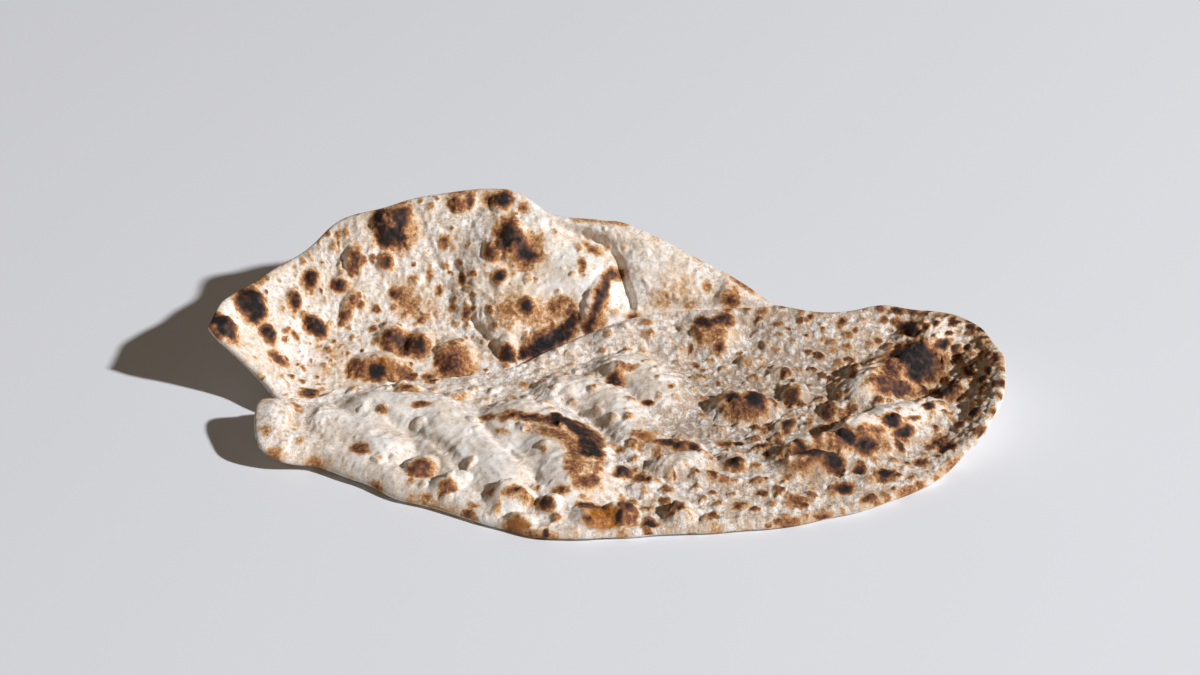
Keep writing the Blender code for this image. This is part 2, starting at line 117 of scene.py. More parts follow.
# Scorch marks, with a few of painted shade among them: centre, length, width, turn in degrees, and how
# dark, from 0 for flour to 1 for char.
# Most places in these lists were read off and turned into millimetres by a program.
BACK_MARKS = (
    (-146, -7, 16, 12, -50, 0.94), (-137, 13, 16, 11, 75, 1), (-130, 5, 10, 7, -55, 0.88),
    (-121, 23, 9, 7, -85, 0.78), (-114, 31, 10, 7, 30, 0.86), (-102, 31, 9, 5, 0, 0.8),
    (-112, 17, 12, 7, -5, 1), (-96, 27, 6, 5, 80, 0.68), (-100, 22, 6, 5, -5, 0.68),
    (-98, 24, 10, 6, 65, 0.6), (-96, 38, 10, 7, 80, 0.82), (-84, 38, 7, 7, 0, 0.76),
    (-87, 51, 7, 5, -60, 1), (-80, 50, 8, 6, -85, 0.9), (-81, 45, 12, 8, 5, 0.97),
    (-76, 52, 7, 6, 80, 0.66), (-81, 48, 23, 17, -15, 0.68), (-103, 46, 6, 4, 60, 0.45),
    (-61, 44, 7, 6, 5, 0.64), (-67, 35, 7, 4, 80, 0.56), (-63, 30, 5, 4, 5, 0.64),
    (-54, 33, 5, 5, 0, 0.72), (-42, 40, 8, 7, 0, 0.78), (-41, 46, 6, 5, -25, 0.6),
    (-56, 55, 13, 7, -5, 0.62), (-51, 56, 7, 5, -90, 0.74), (-79, 29, 9, 6, -20, 0.76),
    (-76, 27, 20, 14, -25, 0.5), (-70, 21, 5, 4, 0, 0.66), (-58, 25, 4, 4, 0, 0.66),
    (-52, 23, 6, 5, -90, 0.78), (-80, 13, 11, 11, 70, 0.8), (-70, 10, 12, 11, 0, 0.82),
    (-75, 11, 25, 15, -10, 0.64), (-120, 11, 6, 4, -20, 0.62), (-57, 11, 7, 6, 80, 0.72),
    (-59, 1, 14, 12, -90, 0.76), (-56, 3, 22, 20, 80, 0.66), (-86, -2, 10, 8, 5, 1),
    (-94, 0, 11, 10, -30, 0.76), (-75, -2, 12, 8, -20, 0.74), (-85, -1, 31, 13, 0, 0.62),
    (-66, -3, 7, 5, 0, 0.76), (-125, -3, 9, 7, 0, 0.82), (-116, -1, 6, 4, -60, 0.5),
    (-106, -1, 9, 9, 0, 0.34), (-121, -15, 11, 3, -70, 0.36), (-112, -17, 10, 8, 35, 0.86),
    (-38, 56, 8, 7, 5, 1), (-44, 56, 8, 6, -15, 0.64), (-30, 54, 7, 6, 0, 0.5), (-34, 50, 7, 4, -85, 0.5),
    (-35, 44, 13, 12, -50, 1), (-29, 40, 14, 8, -15, 0.9), (-31, 41, 25, 16, -15, 0.6),
    (-39, 33, 7, 5, 15, 0.92), (-7, 36, 7, 5, -90, 0.62), (-3, 42, 12, 5, -30, 0.62),
    (2, 32, 7, 4, 85, 0.7), (6, 34, 7, 5, 35, 0.52), (1, 29, 7, 5, 80, 0.66), (-1, 23, 8, 6, 0, 0.78),
    (-4, 19, 7, 4, 15, 0.8), (-1, 23, 19, 10, 65, 0.58), (-28, 24, 7, 6, 0, 0.95),
    (-28, 23, 9, 9, 0, 0.46), (-36, 7, 7, 6, 0, 1), (-36, 7, 10, 7, 0, 0.64), (-16, 24, 16, 9, 20, 0.56),
    (-20, 12, 13, 5, 25, 1), (-12, 22, 11, 8, 10, 0.6), (-21, 14, 31, 10, 25, 0.62),
    # The last mark on this line and the first two on the next are painted shade on the low side of the lobe
    # at the right.
    (13, 22, 6, 5, 0, 0.84), (15, 21, 9, 6, 0, 0.5), (42, 31, 6, 5, 85, 0.5), (30, 31, 30, 15, -15, 0.26),
    (24, 27, 12, 8, 0, 0.36), (36, 26, 12, 6, 10, 0.34), (-24, 22, 22, 17, 0, 0.42),
    (-66, 24, 18, 12, 0, 0.28), (-104, 8, 22, 14, 0, 0.26), (51, 27, 11, 9, 0, 0.6),
    (-36, 23, 24, 20, 0, 0.42), (-24, 44, 9, 7, 0, 0.5), (63, 22, 6, 4, 0, 0.4),
)
# Burnt streaks where a pocket met the other half: plan route, width, how dark.
BACK_STREAKS = (
    (((-30, 8), (-25, 9), (-19, 13), (-12, 18), (-10, 20)), 6.0, 0.97),
    (((-4, 18), (-2, 22), (0, 26), (2, 31)), 6.0, 0.86),
    (((2, 31), (4, 34), (7, 34)), 4.5, 0.7),
    (((-87, 51), (-83, 44), (-78, 50)), 7.0, 0.9),
    (((-81, 14), (-76, 10), (-70, 10)), 8.0, 0.8),
)
# Amber places, thin and glossy: centre, length, width, turn in degrees, strength.
BACK_AMBER = ((-83, 0, 8, 7, 0, 0.8),)
# How blistered, crumbly and freckled with toast the crust is around some places: x, y, then the three.
BACK_AREAS = (
    (-135, 5, 0.6, 0.3, 0.7), (-100, 20, 0.75, 0.4, 0.8), (-75, 35, 0.7, 0.45, 0.7),
    (-95, -5, 0.85, 0.3, 0.85), (-55, 35, 0.7, 0.5, 0.7), (-40, 20, 0.6, 0.5, 0.7),
    (-12, 35, 0.4, 0.3, 0.5), (20, 38, 0.15, 0.35, 0.3), (50, 28, 0.3, 0.5, 0.6), (-5, 20, 0.4, 0.4, 0.7),
)
# How crisply puffs meet, and how far in from the rim and from the cut the relief has its full height.
MERGE = 6.0
RELIEF_START = 3.4
CUT_RELIEF_START = 2.5
# Each half has its own waves, and so has each kind of wave.
BACK_SEED = 3.7
DENT_SEED = 17.0
PUCKER_SEED = 23.0
SIDEWAYS_SEED = 31.7
RIM_PATCH_SEED = 5.0
WAVE_LENGTH = 34.0
WAVE_HEIGHT = 0.9
LUMP_LENGTH = 9.0
LUMP_HEIGHT = 0.4
DENT_LENGTH = 14.0
DENT_HEIGHT = 0.8
PUCKER_LENGTH = 5.0
PUCKER_HEIGHT = 0.4
# Dents are full where the skin rose this much, and have this share on the plain sheet.
DENT_FULL_AT = 3.0
DENT_LEAST = 0.3
# Blisters and creases wander off their round and even outlines.
WANDER_LENGTH = 6.0
WANDER_REACH = 0.8
# A skin that rose this much is stretched smooth, and has this share less crumb.
STRETCHED_FROM = 2.5
STRETCHED_RUN = 4.0
STRETCHED_SHARE = 0.7
# A black mark starts to fade at this share of its reach, a paler one further in, both over the run.
BACK_FADE_FROM = 0.22
FADE_RUN = 1.3
# Marks wander at two wavelengths, by a reach and with a seed, and are uneven likewise, by a share. One
# wanders less if its length and width add up to less than FULL_WANDER_SIZE.
MARK_WANDER = ((6.0, 1.7, 3.0), (2.4, 0.7, 9.0))
FULL_WANDER_SIZE = 24.0
MARK_UNEVEN = ((3.8, 0.22, 13.0), (1.7, 0.26, 19.0))
# The crust near a place is like it, up to about the root of AREA_SOFTNESS, and then less and less so.
AREA_SOFTNESS = 60.0
AREA_FALL = 1.5
# The fine relief is full this far in from the outline, and under the bread where it is off the table.
FREE_RUN = 1.6
UNDER_FREE_FROM = 1.0
UNDER_FREE_RUN = 4.0
# The rim is toasted in patches.
RIM_TOAST = 0.62
RIM_TOAST_RUN = 3.6
RIM_PATCH_LENGTH = 9.0
RIM_PATCH_BASE = 0.2
RIM_PATCH_SWING = 1.4
# An amber place is solid out to this share of its reach.
AMBER_SOLID = 0.5
# The underside's blisters, crumb and freckles, and how far its patterns are from the top's.
UNDERSIDE_CRUST = (0.55, 0.25, 0.75)
UNDERSIDE_SHIFT = 500.0
# Points between two knots of a line, and the step at which a line is filled to measure from it.
KNOT_POINTS = 24
MEASURING_STEP = 0.2


def eased(share):
    """0 to 1 with level ends."""
    share = np.clip(share, 0.0, 1.0)
    return share * share * (3.0 - 2.0 * share)


def lie(plan):
    """Height of the surface that the bread sags onto."""
    across = np.maximum(np.maximum(FLAT_LEFT - plan[:, 0], plan[:, 0] - FLAT_RIGHT), 0.0)
    behind = np.maximum(plan[:, 1] - FLAT_BACK, 0.0)
    before = np.maximum(FLAT_FRONT - plan[:, 1], 0.0)
    out = np.hypot(across, behind + FRONT_EASE * before)
    knee = BEND * SLOPE
    return np.where(out < knee, out * out / (2.0 * BEND), knee * SLOPE / 2.0 + SLOPE * (out - knee))


def square_to(plan):
    """The upward direction square to the sagging surface."""
    reach = 0.5
    step_x = np.array((reach, 0.0))
    step_y = np.array((0.0, reach))
    rise_x = (lie(plan + step_x) - lie(plan - step_x)) / (2.0 * reach)
    rise_y = (lie(plan + step_y) - lie(plan - step_y)) / (2.0 * reach)
    normal = np.column_stack((-rise_x, -rise_y, np.ones(len(plan))))
    return normal / np.linalg.norm(normal, axis=1)[:, None]


def unrolled(plan):
    """The plan with its sagging ends laid flat, so that small things drawn on it aren't stretched."""
    flat = (np.clip(plan[:, 0], FLAT_LEFT, FLAT_RIGHT), np.clip(plan[:, 1], FLAT_FRONT, FLAT_BACK))
    base = np.column_stack(flat)
    gap = plan - base
    out = np.maximum(np.hypot(gap[:, 0], gap[:, 1]), 1e-6)
    bent = np.minimum(out, BEND * SLOPE)
    run = 0.5 * (bent * np.hypot(1.0, bent / BEND) + BEND * np.arcsinh(bent / BEND))
    run += (out - bent) * math.hypot(1.0, SLOPE)
    return base + gap * (run / out)[:, None]


def smooth_line(points, step):
    """A line through the points, bending evenly, with a point about every step."""
    knots = np.array(points, float)
    before = np.vstack((2.0 * knots[0] - knots[1], knots[:-1]))
    after = np.vstack((knots[1:], 2.0 * knots[-1] - knots[-2]))
    share = np.linspace(0.0, 1.0, KNOT_POINTS, endpoint=False)[:, None]
    pieces = []
    for i in range(len(knots) - 1):
        a, b, c, d = before[i], knots[i], knots[i + 1], after[i + 1]
        bend = (c - a) * share + (2 * a - 5 * b + 4 * c - d) * share**2
        pieces.append(b + 0.5 * (bend + (3 * b - a - 3 * c + d) * share**3))
    dense = np.vstack(pieces + [knots[-1:]])
    run = np.concatenate(((0.0,), np.cumsum(np.hypot(*np.diff(dense, axis=0).T))))
    at = np.linspace(0.0, run[-1], max(2, round(run[-1] / step)) + 1)
    return np.column_stack((np.interp(at, run, dense[:, 0]), np.interp(at, run, dense[:, 1])))


def gap_to(line, plan):
    """How far each point of the plan is from a line."""
    dense = smooth_line(line, MEASURING_STEP)
    tree = kdtree.KDTree(len(dense))
    for i, (x, y) in enumerate(dense):
        tree.insert((x, y, 0.0), i)
    tree.balance()
    return np.array([tree.find((x, y, 0.0))[2] for x, y in plan])


def is_inside(ring, plan):
    """True for each point of the plan that lies inside a closed ring."""
    found = np.zeros(len(plan), bool)
    for (x0, y0), (x1, y1) in zip(ring, np.roll(ring, -1, axis=0)):
        if y0 != y1:
            crosses = (y0 > plan[:, 1]) != (y1 > plan[:, 1])
            found ^= crosses & (plan[:, 0] < x0 + (plan[:, 1] - y0) * (x1 - x0) / (y1 - y0))
    return found


def offset(ring, by):
    """The ring moved outwards, or inwards where by is negative. It runs anticlockwise."""
    along = np.roll(ring, -1, axis=0) - np.roll(ring, 1, axis=0)
    along /= np.hypot(along[:, 0], along[:, 1])[:, None]
    return ring + by * np.column_stack((along[:, 1], -along[:, 0]))


def even_points(ring, step):
    """Points of a triangular pattern that fall inside the ring."""
    low = ring.min(axis=0)
    high = ring.max(axis=0)
    rows = []
    for i, y in enumerate(np.arange(low[1], high[1], step * math.sqrt(0.75))):
        x = np.arange(low[0] + (i % 2) * step / 2.0, high[0], step)
        rows.append(np.column_stack((x, np.full(len(x), y))))
    plan = np.vstack(rows)
    return plan[is_inside(ring, plan)]


def waves(places, length, salt):
    """Smooth unevenness between about -1 and 1, with this wavelength, over a plan or in space."""
    in_space = np.column_stack((places, np.zeros(len(places))))[:, :3] / length + (0.0, 0.0, salt)
    return np.array([noise.noise(Vector(place)) for place in in_space])


def wandering(plan, length, reach, salt):
    """How far each point is moved, so that what is drawn there gets an uneven outline."""
    sideways = waves(plan, length, salt + SIDEWAYS_SEED)
    return reach * np.column_stack((waves(plan, length, salt), sideways))


def how_far_out(spot, plan):
    """How far out each point lies from the middle of a round or oval spot: 1 at its foot."""
    x, y, length, width, turn = spot[:5]
    turned = math.radians(turn)
    gap = plan - np.array((x, y))
    along = gap[:, 0] * math.cos(turned) + gap[:, 1] * math.sin(turned)
    side = gap[:, 1] * math.cos(turned) - gap[:, 0] * math.sin(turned)
    return np.hypot(along / (length / 2.0), side / (width / 2.0))


def relief(plan, puffs, creases, blisters, salt):
    """Height of the puffs, blisters and low waves over the plain sheet, less the creases."""
    swell = np.zeros(len(plan))
    for route, half_width, height in puffs:
        out = gap_to(route, plan) / half_width
        swell += (height * np.clip(1.0 - out * out, 0.0, 1.0) ** 1.5) ** MERGE
    swell = swell ** (1.0 / MERGE)
    loose = plan + wandering(plan, WANDER_LENGTH, WANDER_REACH, salt)
    for blister in blisters:
        out = np.clip(how_far_out(blister, loose), 0.0, 1.0)
        swell += blister[5] * (1.0 - out**3) ** 1.5
    for route, half_width, depth in creases:
        out = np.clip(gap_to(route, loose) / half_width, 0.0, 1.0)
        swell -= depth * (1.0 - out * out) ** 2
    uneven = WAVE_HEIGHT * waves(plan, WAVE_LENGTH, salt) + LUMP_HEIGHT * waves(plan, LUMP_LENGTH, salt)
    dented = np.clip(swell / DENT_FULL_AT, DENT_LEAST, 1.0)
    uneven += DENT_HEIGHT * waves(plan, DENT_LENGTH, salt + DENT_SEED) * dented
    puckers = waves(unrolled(plan), PUCKER_LENGTH, salt + PUCKER_SEED)
    uneven += PUCKER_HEIGHT * (1.0 - 2.0 * np.abs(puckers))
    return swell + uneven


def scorched(plan, places, marks, streaks, fade_from, salt):
    """How dark each point is baked, with a few marks of painted shade among the marks: 0 for flour, 1 for
    char.
    """
    drift = sum(wandering(places, length, reach, salt + seed) for length, reach, seed in MARK_WANDER)
    uneven = 1.0
    for length, share, seed in MARK_UNEVEN:
        uneven = uneven + share * waves(places, length, salt + seed)
    dark = np.zeros(len(plan))
    for mark in marks:
        out = how_far_out(mark, plan + drift * min(1.0, (mark[2] + mark[3]) / FULL_WANDER_SIZE))
        near = out < fade_from + FADE_RUN
        faded = eased((out[near] - fade_from * mark[5] ** 3) / FADE_RUN)
        dark[near] = np.maximum(dark[near], mark[5] * (1.0 - faded))
    for route, width, level in streaks:
        out = gap_to(route, plan + drift) / (width / 2.0)
        dark = np.maximum(dark, level * (1.0 - eased((out - fade_from * level**3) / FADE_RUN)))
    return dark * uneven


def blended(plan, areas):
    """The values given at a few places, blended by nearness."""
    total = np.zeros((len(plan), 3))
    weight = np.zeros(len(plan))
    for x, y, *values in areas:
        far = (plan[:, 0] - x) ** 2 + (plan[:, 1] - y) ** 2
        near = 1.0 / (far + AREA_SOFTNESS) ** AREA_FALL
        total += near[:, None] * np.array(values)
        weight += near
    return total / weight[:, None]


class Half:
    """One half of the bread: its outline in plan, the natural rim and the knife's cut."""

    def __init__(self, rim, cut, salt):
        rim = smooth_line(rim, OUTLINE_STEP)
        self.rim = offset(rim, RIM_WOBBLE * waves(rim, RIM_WOBBLE_LENGTH, salt)[:, None])
        self.cut = smooth_line(cut, OUTLINE_STEP)
        self.rim[0] = self.cut[-1]
        self.rim[-1] = self.cut[0]
        ring = np.vstack((self.rim[:-1], self.cut[:-1]))
        area = (ring[:, 0] * np.roll(ring[:, 1], -1) - np.roll(ring[:, 0], -1) * ring[:, 1]).sum()
        self.ring = ring if area > 0 else ring[::-1]
        self.salt = salt

    def outside(self, plan):
        """Distance out from the outline, 0 inside it."""
        gap = gap_to(np.vstack((self.ring, self.ring[:1])), plan)
        return np.where(is_inside(self.ring, plan), 0.0, gap)


def net_through(ring, inner):
    """Triangles that fill the ring, through the points inside it. The ring's points come first."""
    plan = np.vstack((ring, inner))
    closed = [list(range(len(ring)))]
    net = geometry.delaunay_2d_cdt([Vector(point) for point in plan], [], closed, 1, 1e-6)
    number = []
    extra = []
    for point, sources in zip(net[0], net[3]):
        if sources:
            number.append(min(sources))
        else:
            number.append(len(plan) + len(extra))
            extra.append(tuple(point))
    if extra:
        plan = np.vstack((plan, extra))
    return plan[len(ring):], np.array(number)[np.array(net[2])]


def build_half(name, half, thickness, steps, lift, freed, shape, marks, streaks, fade_from, amber, areas):
    """A closed sheet whose two skins share the outline, with what its finish needs at each point.

    steps says how closely each skin's points lie, and where. lift, freed and shape give its height,
    0 where it is pressed flat, and the height of its relief.
    """
    ring = half.ring
    row = offset(ring, -EDGE_ROW)
    skins = []
    for pick in steps:
        inner = [row]
        for step, wanted in pick:
            grid = even_points(ring, step)
            inner.append(grid[wanted(grid)])
        inner = np.vstack(inner)
        gap = gap_to(np.vstack((ring, ring[:1])), inner)
        deep = gap > EDGE_ROW + ROW_CLEARANCE
        deep[: len(row)] = (gap[: len(row)] > ROW_SHARE * EDGE_ROW) & is_inside(ring, row)
        skins.append(net_through(ring, inner[deep]))
    (top, top_faces), (under, under_faces) = skins

    n = len(ring)
    plan = np.vstack((ring, top, under))
    is_top = np.zeros(len(plan), bool)
    is_top[n : n + len(top)] = True
    is_under = np.zeros(len(plan), bool)
    is_under[n + len(top):] = True
    rim_gap = gap_to(half.rim, plan)
    cut_gap = gap_to(half.cut, plan)
    share = np.clip(np.minimum(rim_gap / RIM_RADIUS, cut_gap / CUT_RADIUS), 0.0, 1.0)
    edge = np.sqrt(1.0 - (1.0 - share) ** 2)
    edge[:n] = 0.0
    free = eased(np.minimum(rim_gap / RELIEF_START, cut_gap / CUT_RELIEF_START)) * freed(plan)
    height = lift(plan) + thickness * 0.5
    swelled = shape(plan[is_top])
    height[is_top] += thickness * 0.5 * edge[is_top] + swelled * free[is_top]
    height[is_under] -= thickness * 0.5 * edge[is_under]
    normal = square_to(plan)
    points = (np.column_stack((plan, lie(plan))) + normal * height[:, None] - MIDDLE) * MM

    under_faces = np.where(under_faces < n, under_faces, under_faces + len(top))[:, ::-1]
    mesh = bpy.data.meshes.new(name)
    mesh.from_pydata(points.tolist(), [], np.vstack((top_faces, under_faces)).tolist())
    mesh.shade_smooth()

    loosened = eased(np.minimum(rim_gap, cut_gap) / FREE_RUN)
    raised_off = eased((points[:, 2] / MM - UNDER_FREE_FROM) / UNDER_FREE_RUN)
    movable = np.where(is_top, loosened * freed(plan), np.where(is_under, loosened * raised_off, 0.0))
    baked = np.zeros(len(plan))
    upper = ~is_under
    baked[upper] = scorched(plan[upper], points[upper] / MM, marks, streaks, fade_from, half.salt)
    patches = waves(unrolled(plan), RIM_PATCH_LENGTH, half.salt + RIM_PATCH_SEED)
    patchy = np.clip(RIM_PATCH_BASE + RIM_PATCH_SWING * patches, 0.0, 1.0)
    baked = np.maximum(baked, RIM_TOAST * patchy * (1.0 - eased(rim_gap / RIM_TOAST_RUN)))
    glaze = np.zeros(len(plan))
    for spot in amber:
        faded = eased((how_far_out(spot, plan) - AMBER_SOLID) / (1.0 - AMBER_SOLID))
        glaze = np.maximum(glaze, spot[5] * (1.0 - faded))
    kind = blended(plan, areas)
    kind[is_top, 1] *= 1.0 - STRETCHED_SHARE * eased((swelled - STRETCHED_FROM) / STRETCHED_RUN)
    kind[is_under] = UNDERSIDE_CRUST
    shifted = np.column_stack((unrolled(plan), np.zeros(len(plan))))
    shifted[is_under, 0] += UNDERSIDE_SHIFT
    # The scorch values also hold the few marks of painted shade.
    for label, values in (
        ("scorch", baked), ("amber", glaze * upper), ("free", movable),
        ("bubbly", kind[:, 0]), ("crumbly", kind[:, 1]), ("toasty", kind[:, 2]),
    ):
        mesh.attributes.new(label, "FLOAT", "POINT").data.foreach_set("value", np.float32(values))
    outward = normal * np.where(is_under, -1.0, 1.0)[:, None]
    for label, values in (("plan", shifted), ("outward", outward)):
        made = mesh.attributes.new(label, "FLOAT_VECTOR", "POINT")
        made.data.foreach_set("vector", np.float32(values).ravel())
    piece = bpy.data.objects.new(name, mesh)
    bpy.context.scene.collection.objects.link(piece)
    return piece


# The kinds of node and the settings that the trees below use most.
MATH = "ShaderNodeMath"
RANGE = "ShaderNodeMapRange"
NOISE = "ShaderNodeTexNoise"
MIX = "ShaderNodeMix"
MULTIPLY = {"operation": "MULTIPLY"}
MULTIPLY_ADD = {"operation": "MULTIPLY_ADD"}
DIVIDE = {"operation": "DIVIDE"}
SUBTRACT = {"operation": "SUBTRACT"}
SMOOTH = {"interpolation_type": "SMOOTHSTEP"}
COLOURS = {"data_type": "RGBA"}
# How a tree's nodes are set out in rows.
NODES_A_ROW = 12
NODE_WIDTH = 190.0
NODE_HEIGHT = 260.0


def add_node(tree, kind, settings=None, inputs=None):
    """Adds a node with its settings. An input takes a value, a socket, or a node for its first output."""
    made = tree.nodes.new(kind)
    row, column = divmod(len(tree.nodes), NODES_A_ROW)
    made.location = (NODE_WIDTH * column, -NODE_HEIGHT * row)
    for key, value in (settings or {}).items():
        setattr(made, key, value)
    for key, value in (inputs or {}).items():
        if isinstance(value, bpy.types.Node):
            value = value.outputs[0]
        if isinstance(value, bpy.types.NodeSocket):
            tree.links.new(value, made.inputs[key])
        else:
            made.inputs[key].default_value = value
    return made


# Crumb sinks by this share of a lump, so that the sheet gets no thicker. Grain counts by this share in
# the crumb's height, which puts flour on what stands up and painted shade in the hollows.
CRUMB_SINK = 0.35
GRAIN_SHARE = 0.7


def crust_relief_tree():
    """Small blisters, crumb lumps and grain that rise over a skin, and the toast on the blisters' tops."""
    tree = bpy.data.node_groups.new("crust relief", "GeometryNodeTree")
    sizes = (
        ("Blister Spacing", 6.6), ("Blister Radius", 3.9), ("Blister Height", 1.4), ("Blister Toast", 0.9),
        ("Pimple Spacing", 3.4), ("Pimple Radius", 1.25), ("Pimple Height", 0.45), ("Pimple Toast", 0.28),
        ("Crumb Size", 2.8), ("Crumb Height", 0.8), ("Grain Size", 1.5), ("Grain Height", 0.6),
        ("Mottle Size", 3.4), ("Mottle Toast", 0.5), ("Drift Size", 4.5), ("Drift Reach", 4.0),
        ("Flat Top", 0.25),
    )
    tree.interface.new_socket("Geometry", in_out="INPUT", socket_type="NodeSocketGeometry")
    for name, default in sizes:
        given = tree.interface.new_socket(name, in_out="INPUT", socket_type="NodeSocketFloat")
        given.default_value = default
    tree.interface.new_socket("Crust", in_out="INPUT", socket_type="NodeSocketMaterial")
    tree.interface.new_socket("Geometry", in_out="OUTPUT", socket_type="NodeSocketGeometry")
    given = add_node(tree, "NodeGroupInput").outputs
    read = {}
    for name in ("scorch", "free", "bubbly", "crumbly", "toasty", "plan", "outward"):
        form = "FLOAT_VECTOR" if name in ("plan", "outward") else "FLOAT"
        read[name] = add_node(tree, "GeometryNodeInputNamedAttribute", {"data_type": form}, {"Name": name})

    # The places drift off a plain plan, so that nothing drawn on it is quite round.
    scale = add_node(tree, MATH, DIVIDE, {0: 1.0, 1: given["Drift Size"]})
    drift = add_node(tree, NOISE, {}, {"Vector": read["plan"], "Scale": scale, "Detail": 2.0})
    drift = add_node(tree, "ShaderNodeVectorMath", SUBTRACT, {0: drift.outputs["Color"], 1: (0.5, 0.5, 0.5)})
    reach = add_node(
        tree, "ShaderNodeCombineXYZ", {}, {"X": given["Drift Reach"], "Y": given["Drift Reach"]}
    )
    place = add_node(tree, "ShaderNodeVectorMath", MULTIPLY_ADD, {0: drift, 1: reach, 2: read["plan"]})

    # Blisters and pimples: flat-topped domes of uneven size, some left out, each with its own toast.
    heights = []
    toasts = []
    for kind in ("Blister", "Pimple"):
        scale = add_node(tree, MATH, DIVIDE, {0: 1.0, 1: given[f"{kind} Spacing"]})
        cells = add_node(
            tree, "ShaderNodeTexVoronoi", {"voronoi_dimensions": "2D"},
            {"Vector": place, "Scale": scale, "Randomness": 0.95},
        )
        chance = add_node(tree, "ShaderNodeSeparateXYZ", {}, {0: cells.outputs["Color"]})
        out = add_node(tree, MATH, MULTIPLY, {0: cells.outputs["Distance"], 1: given[f"{kind} Spacing"]})
        smaller = add_node(tree, RANGE, {}, {"Value": chance.outputs["X"], "To Min": 0.45})
        radius = add_node(tree, MATH, MULTIPLY, {0: smaller, 1: given[f"{kind} Radius"]})
        flat_top = add_node(tree, MATH, MULTIPLY, {0: radius, 1: given["Flat Top"]})
        dome = add_node(
            tree, RANGE, SMOOTH,
            {"Value": out, "From Min": flat_top, "From Max": radius, "To Min": 1.0, "To Max": 0.0},
        )
        there = add_node(tree, MATH, {"operation": "LESS_THAN"}, {0: chance.outputs["Y"], 1: read["bubbly"]})
        dome = add_node(tree, MATH, MULTIPLY, {0: dome, 1: there})
        tall = add_node(tree, MATH, MULTIPLY, {0: smaller, 1: given[f"{kind} Height"]})
        heights.append(add_node(tree, MATH, MULTIPLY, {0: dome, 1: tall}))
        browned = add_node(
            tree, RANGE, {},
            {"Value": chance.outputs["Z"], "To Min": 0.35, "To Max": given[f"{kind} Toast"]},
        )
        browned = add_node(tree, MATH, MULTIPLY, {0: browned, 1: read["toasty"]})
        toasts.append(add_node(tree, MATH, MULTIPLY, {0: dome, 1: browned}))

    # Crumb: round lumps of uneven height, pressed together.
    scale = add_node(tree, MATH, DIVIDE, {0: 1.0, 1: given["Crumb Size"]})
    cells = add_node(
        tree, "ShaderNodeTexVoronoi", {"voronoi_dimensions": "2D"}, {"Vector": place, "Scale": scale}
    )
    lumps = add_node(
        tree, RANGE, SMOOTH,
        {
            "Value": cells.outputs["Distance"],
            "From Min": 0.05, "From Max": 0.75, "To Min": 1.0, "To Max": 0.0,
        },
    )
    chance = add_node(tree, "ShaderNodeSeparateXYZ", {}, {0: cells.outputs["Color"]})
    taller = add_node(tree, RANGE, {}, {"Value": chance.outputs["X"], "To Min": 0.3})
    lumps = add_node(tree, MATH, MULTIPLY_ADD, {0: lumps, 1: taller, 2: -CRUMB_SINK})
    lumps = add_node(tree, MATH, MULTIPLY, {0: lumps, 1: read["crumbly"]})

    # Mottle: toast in small clouds, with no relief of its own.
    scale = add_node(tree, MATH, DIVIDE, {0: 1.0, 1: given["Mottle Size"]})
    mottle = add_node(tree, NOISE, {}, {"Vector": place, "Scale": scale, "Detail": 2.0, "Roughness": 0.5})
    mottle = add_node(
        tree, RANGE, SMOOTH,
        {"Value": mottle.outputs[0], "From Min": 0.5, "From Max": 0.76, "To Max": given["Mottle Toast"]},
    )
    toasts.append(add_node(tree, MATH, MULTIPLY, {0: mottle, 1: read["toasty"]}))

    # Grain: fine roughness, coarser where the crust is crumbly.
    scale = add_node(tree, MATH, DIVIDE, {0: 1.0, 1: given["Grain Size"]})
    grain = add_node(tree, NOISE, {}, {"Vector": place, "Scale": scale, "Detail": 1.0})
    grain = add_node(tree, MATH, SUBTRACT, {0: grain.outputs[0], 1: 0.5})
    coarse = add_node(
        tree, RANGE, {}, {"Value": read["crumbly"], "From Min": 0.1, "To Min": 0.35, "To Max": 1.4}
    )
    grain = add_node(tree, MATH, MULTIPLY, {0: grain, 1: coarse})
    raised = add_node(tree, MATH, MULTIPLY_ADD, {0: grain, 1: GRAIN_SHARE, 2: lumps})
    for part, height in ((lumps, "Crumb Height"), (grain, "Grain Height")):
        heights.append(add_node(tree, MATH, MULTIPLY, {0: part, 1: given[height]}))

    # All of it stands up square to the skin, and toast darkens what was baked there already.
    rise = heights[0]
    for more in heights[1:]:
        rise = add_node(tree, MATH, {"operation": "ADD"}, {0: rise, 1: more})
    rise = add_node(tree, MATH, MULTIPLY, {0: rise, 1: read["free"]})
    rise = add_node(tree, MATH, MULTIPLY, {0: rise, 1: MM})
    push = add_node(
        tree, "ShaderNodeVectorMath", {"operation": "SCALE"}, {0: read["outward"], "Scale": rise}
    )
    skin = add_node(tree, "GeometryNodeSetPosition", {}, {"Geometry": given["Geometry"], "Offset": push})
    dark = read["scorch"]
    for toast in toasts:
        dark = add_node(tree, MATH, {"operation": "MAXIMUM"}, {0: dark, 1: toast})
    # The crumb's height is kept for the crust, which puts flour on its tops and painted shade in its
    # hollows.
    for name, value in (("scorch", dark), ("raised", raised)):
        skin = add_node(
            tree, "GeometryNodeStoreNamedAttribute", {"data_type": "FLOAT", "domain": "POINT"},
            {"Geometry": skin, "Name": name, "Value": value},
        )
    skin = add_node(tree, "GeometryNodeRealizeInstances", {}, {0: skin})
    skin = add_node(tree, "GeometryNodeSetMaterial", {}, {0: skin, "Material": given["Crust"]})
    add_node(tree, "NodeGroupOutput", {}, {0: skin})
    return tree


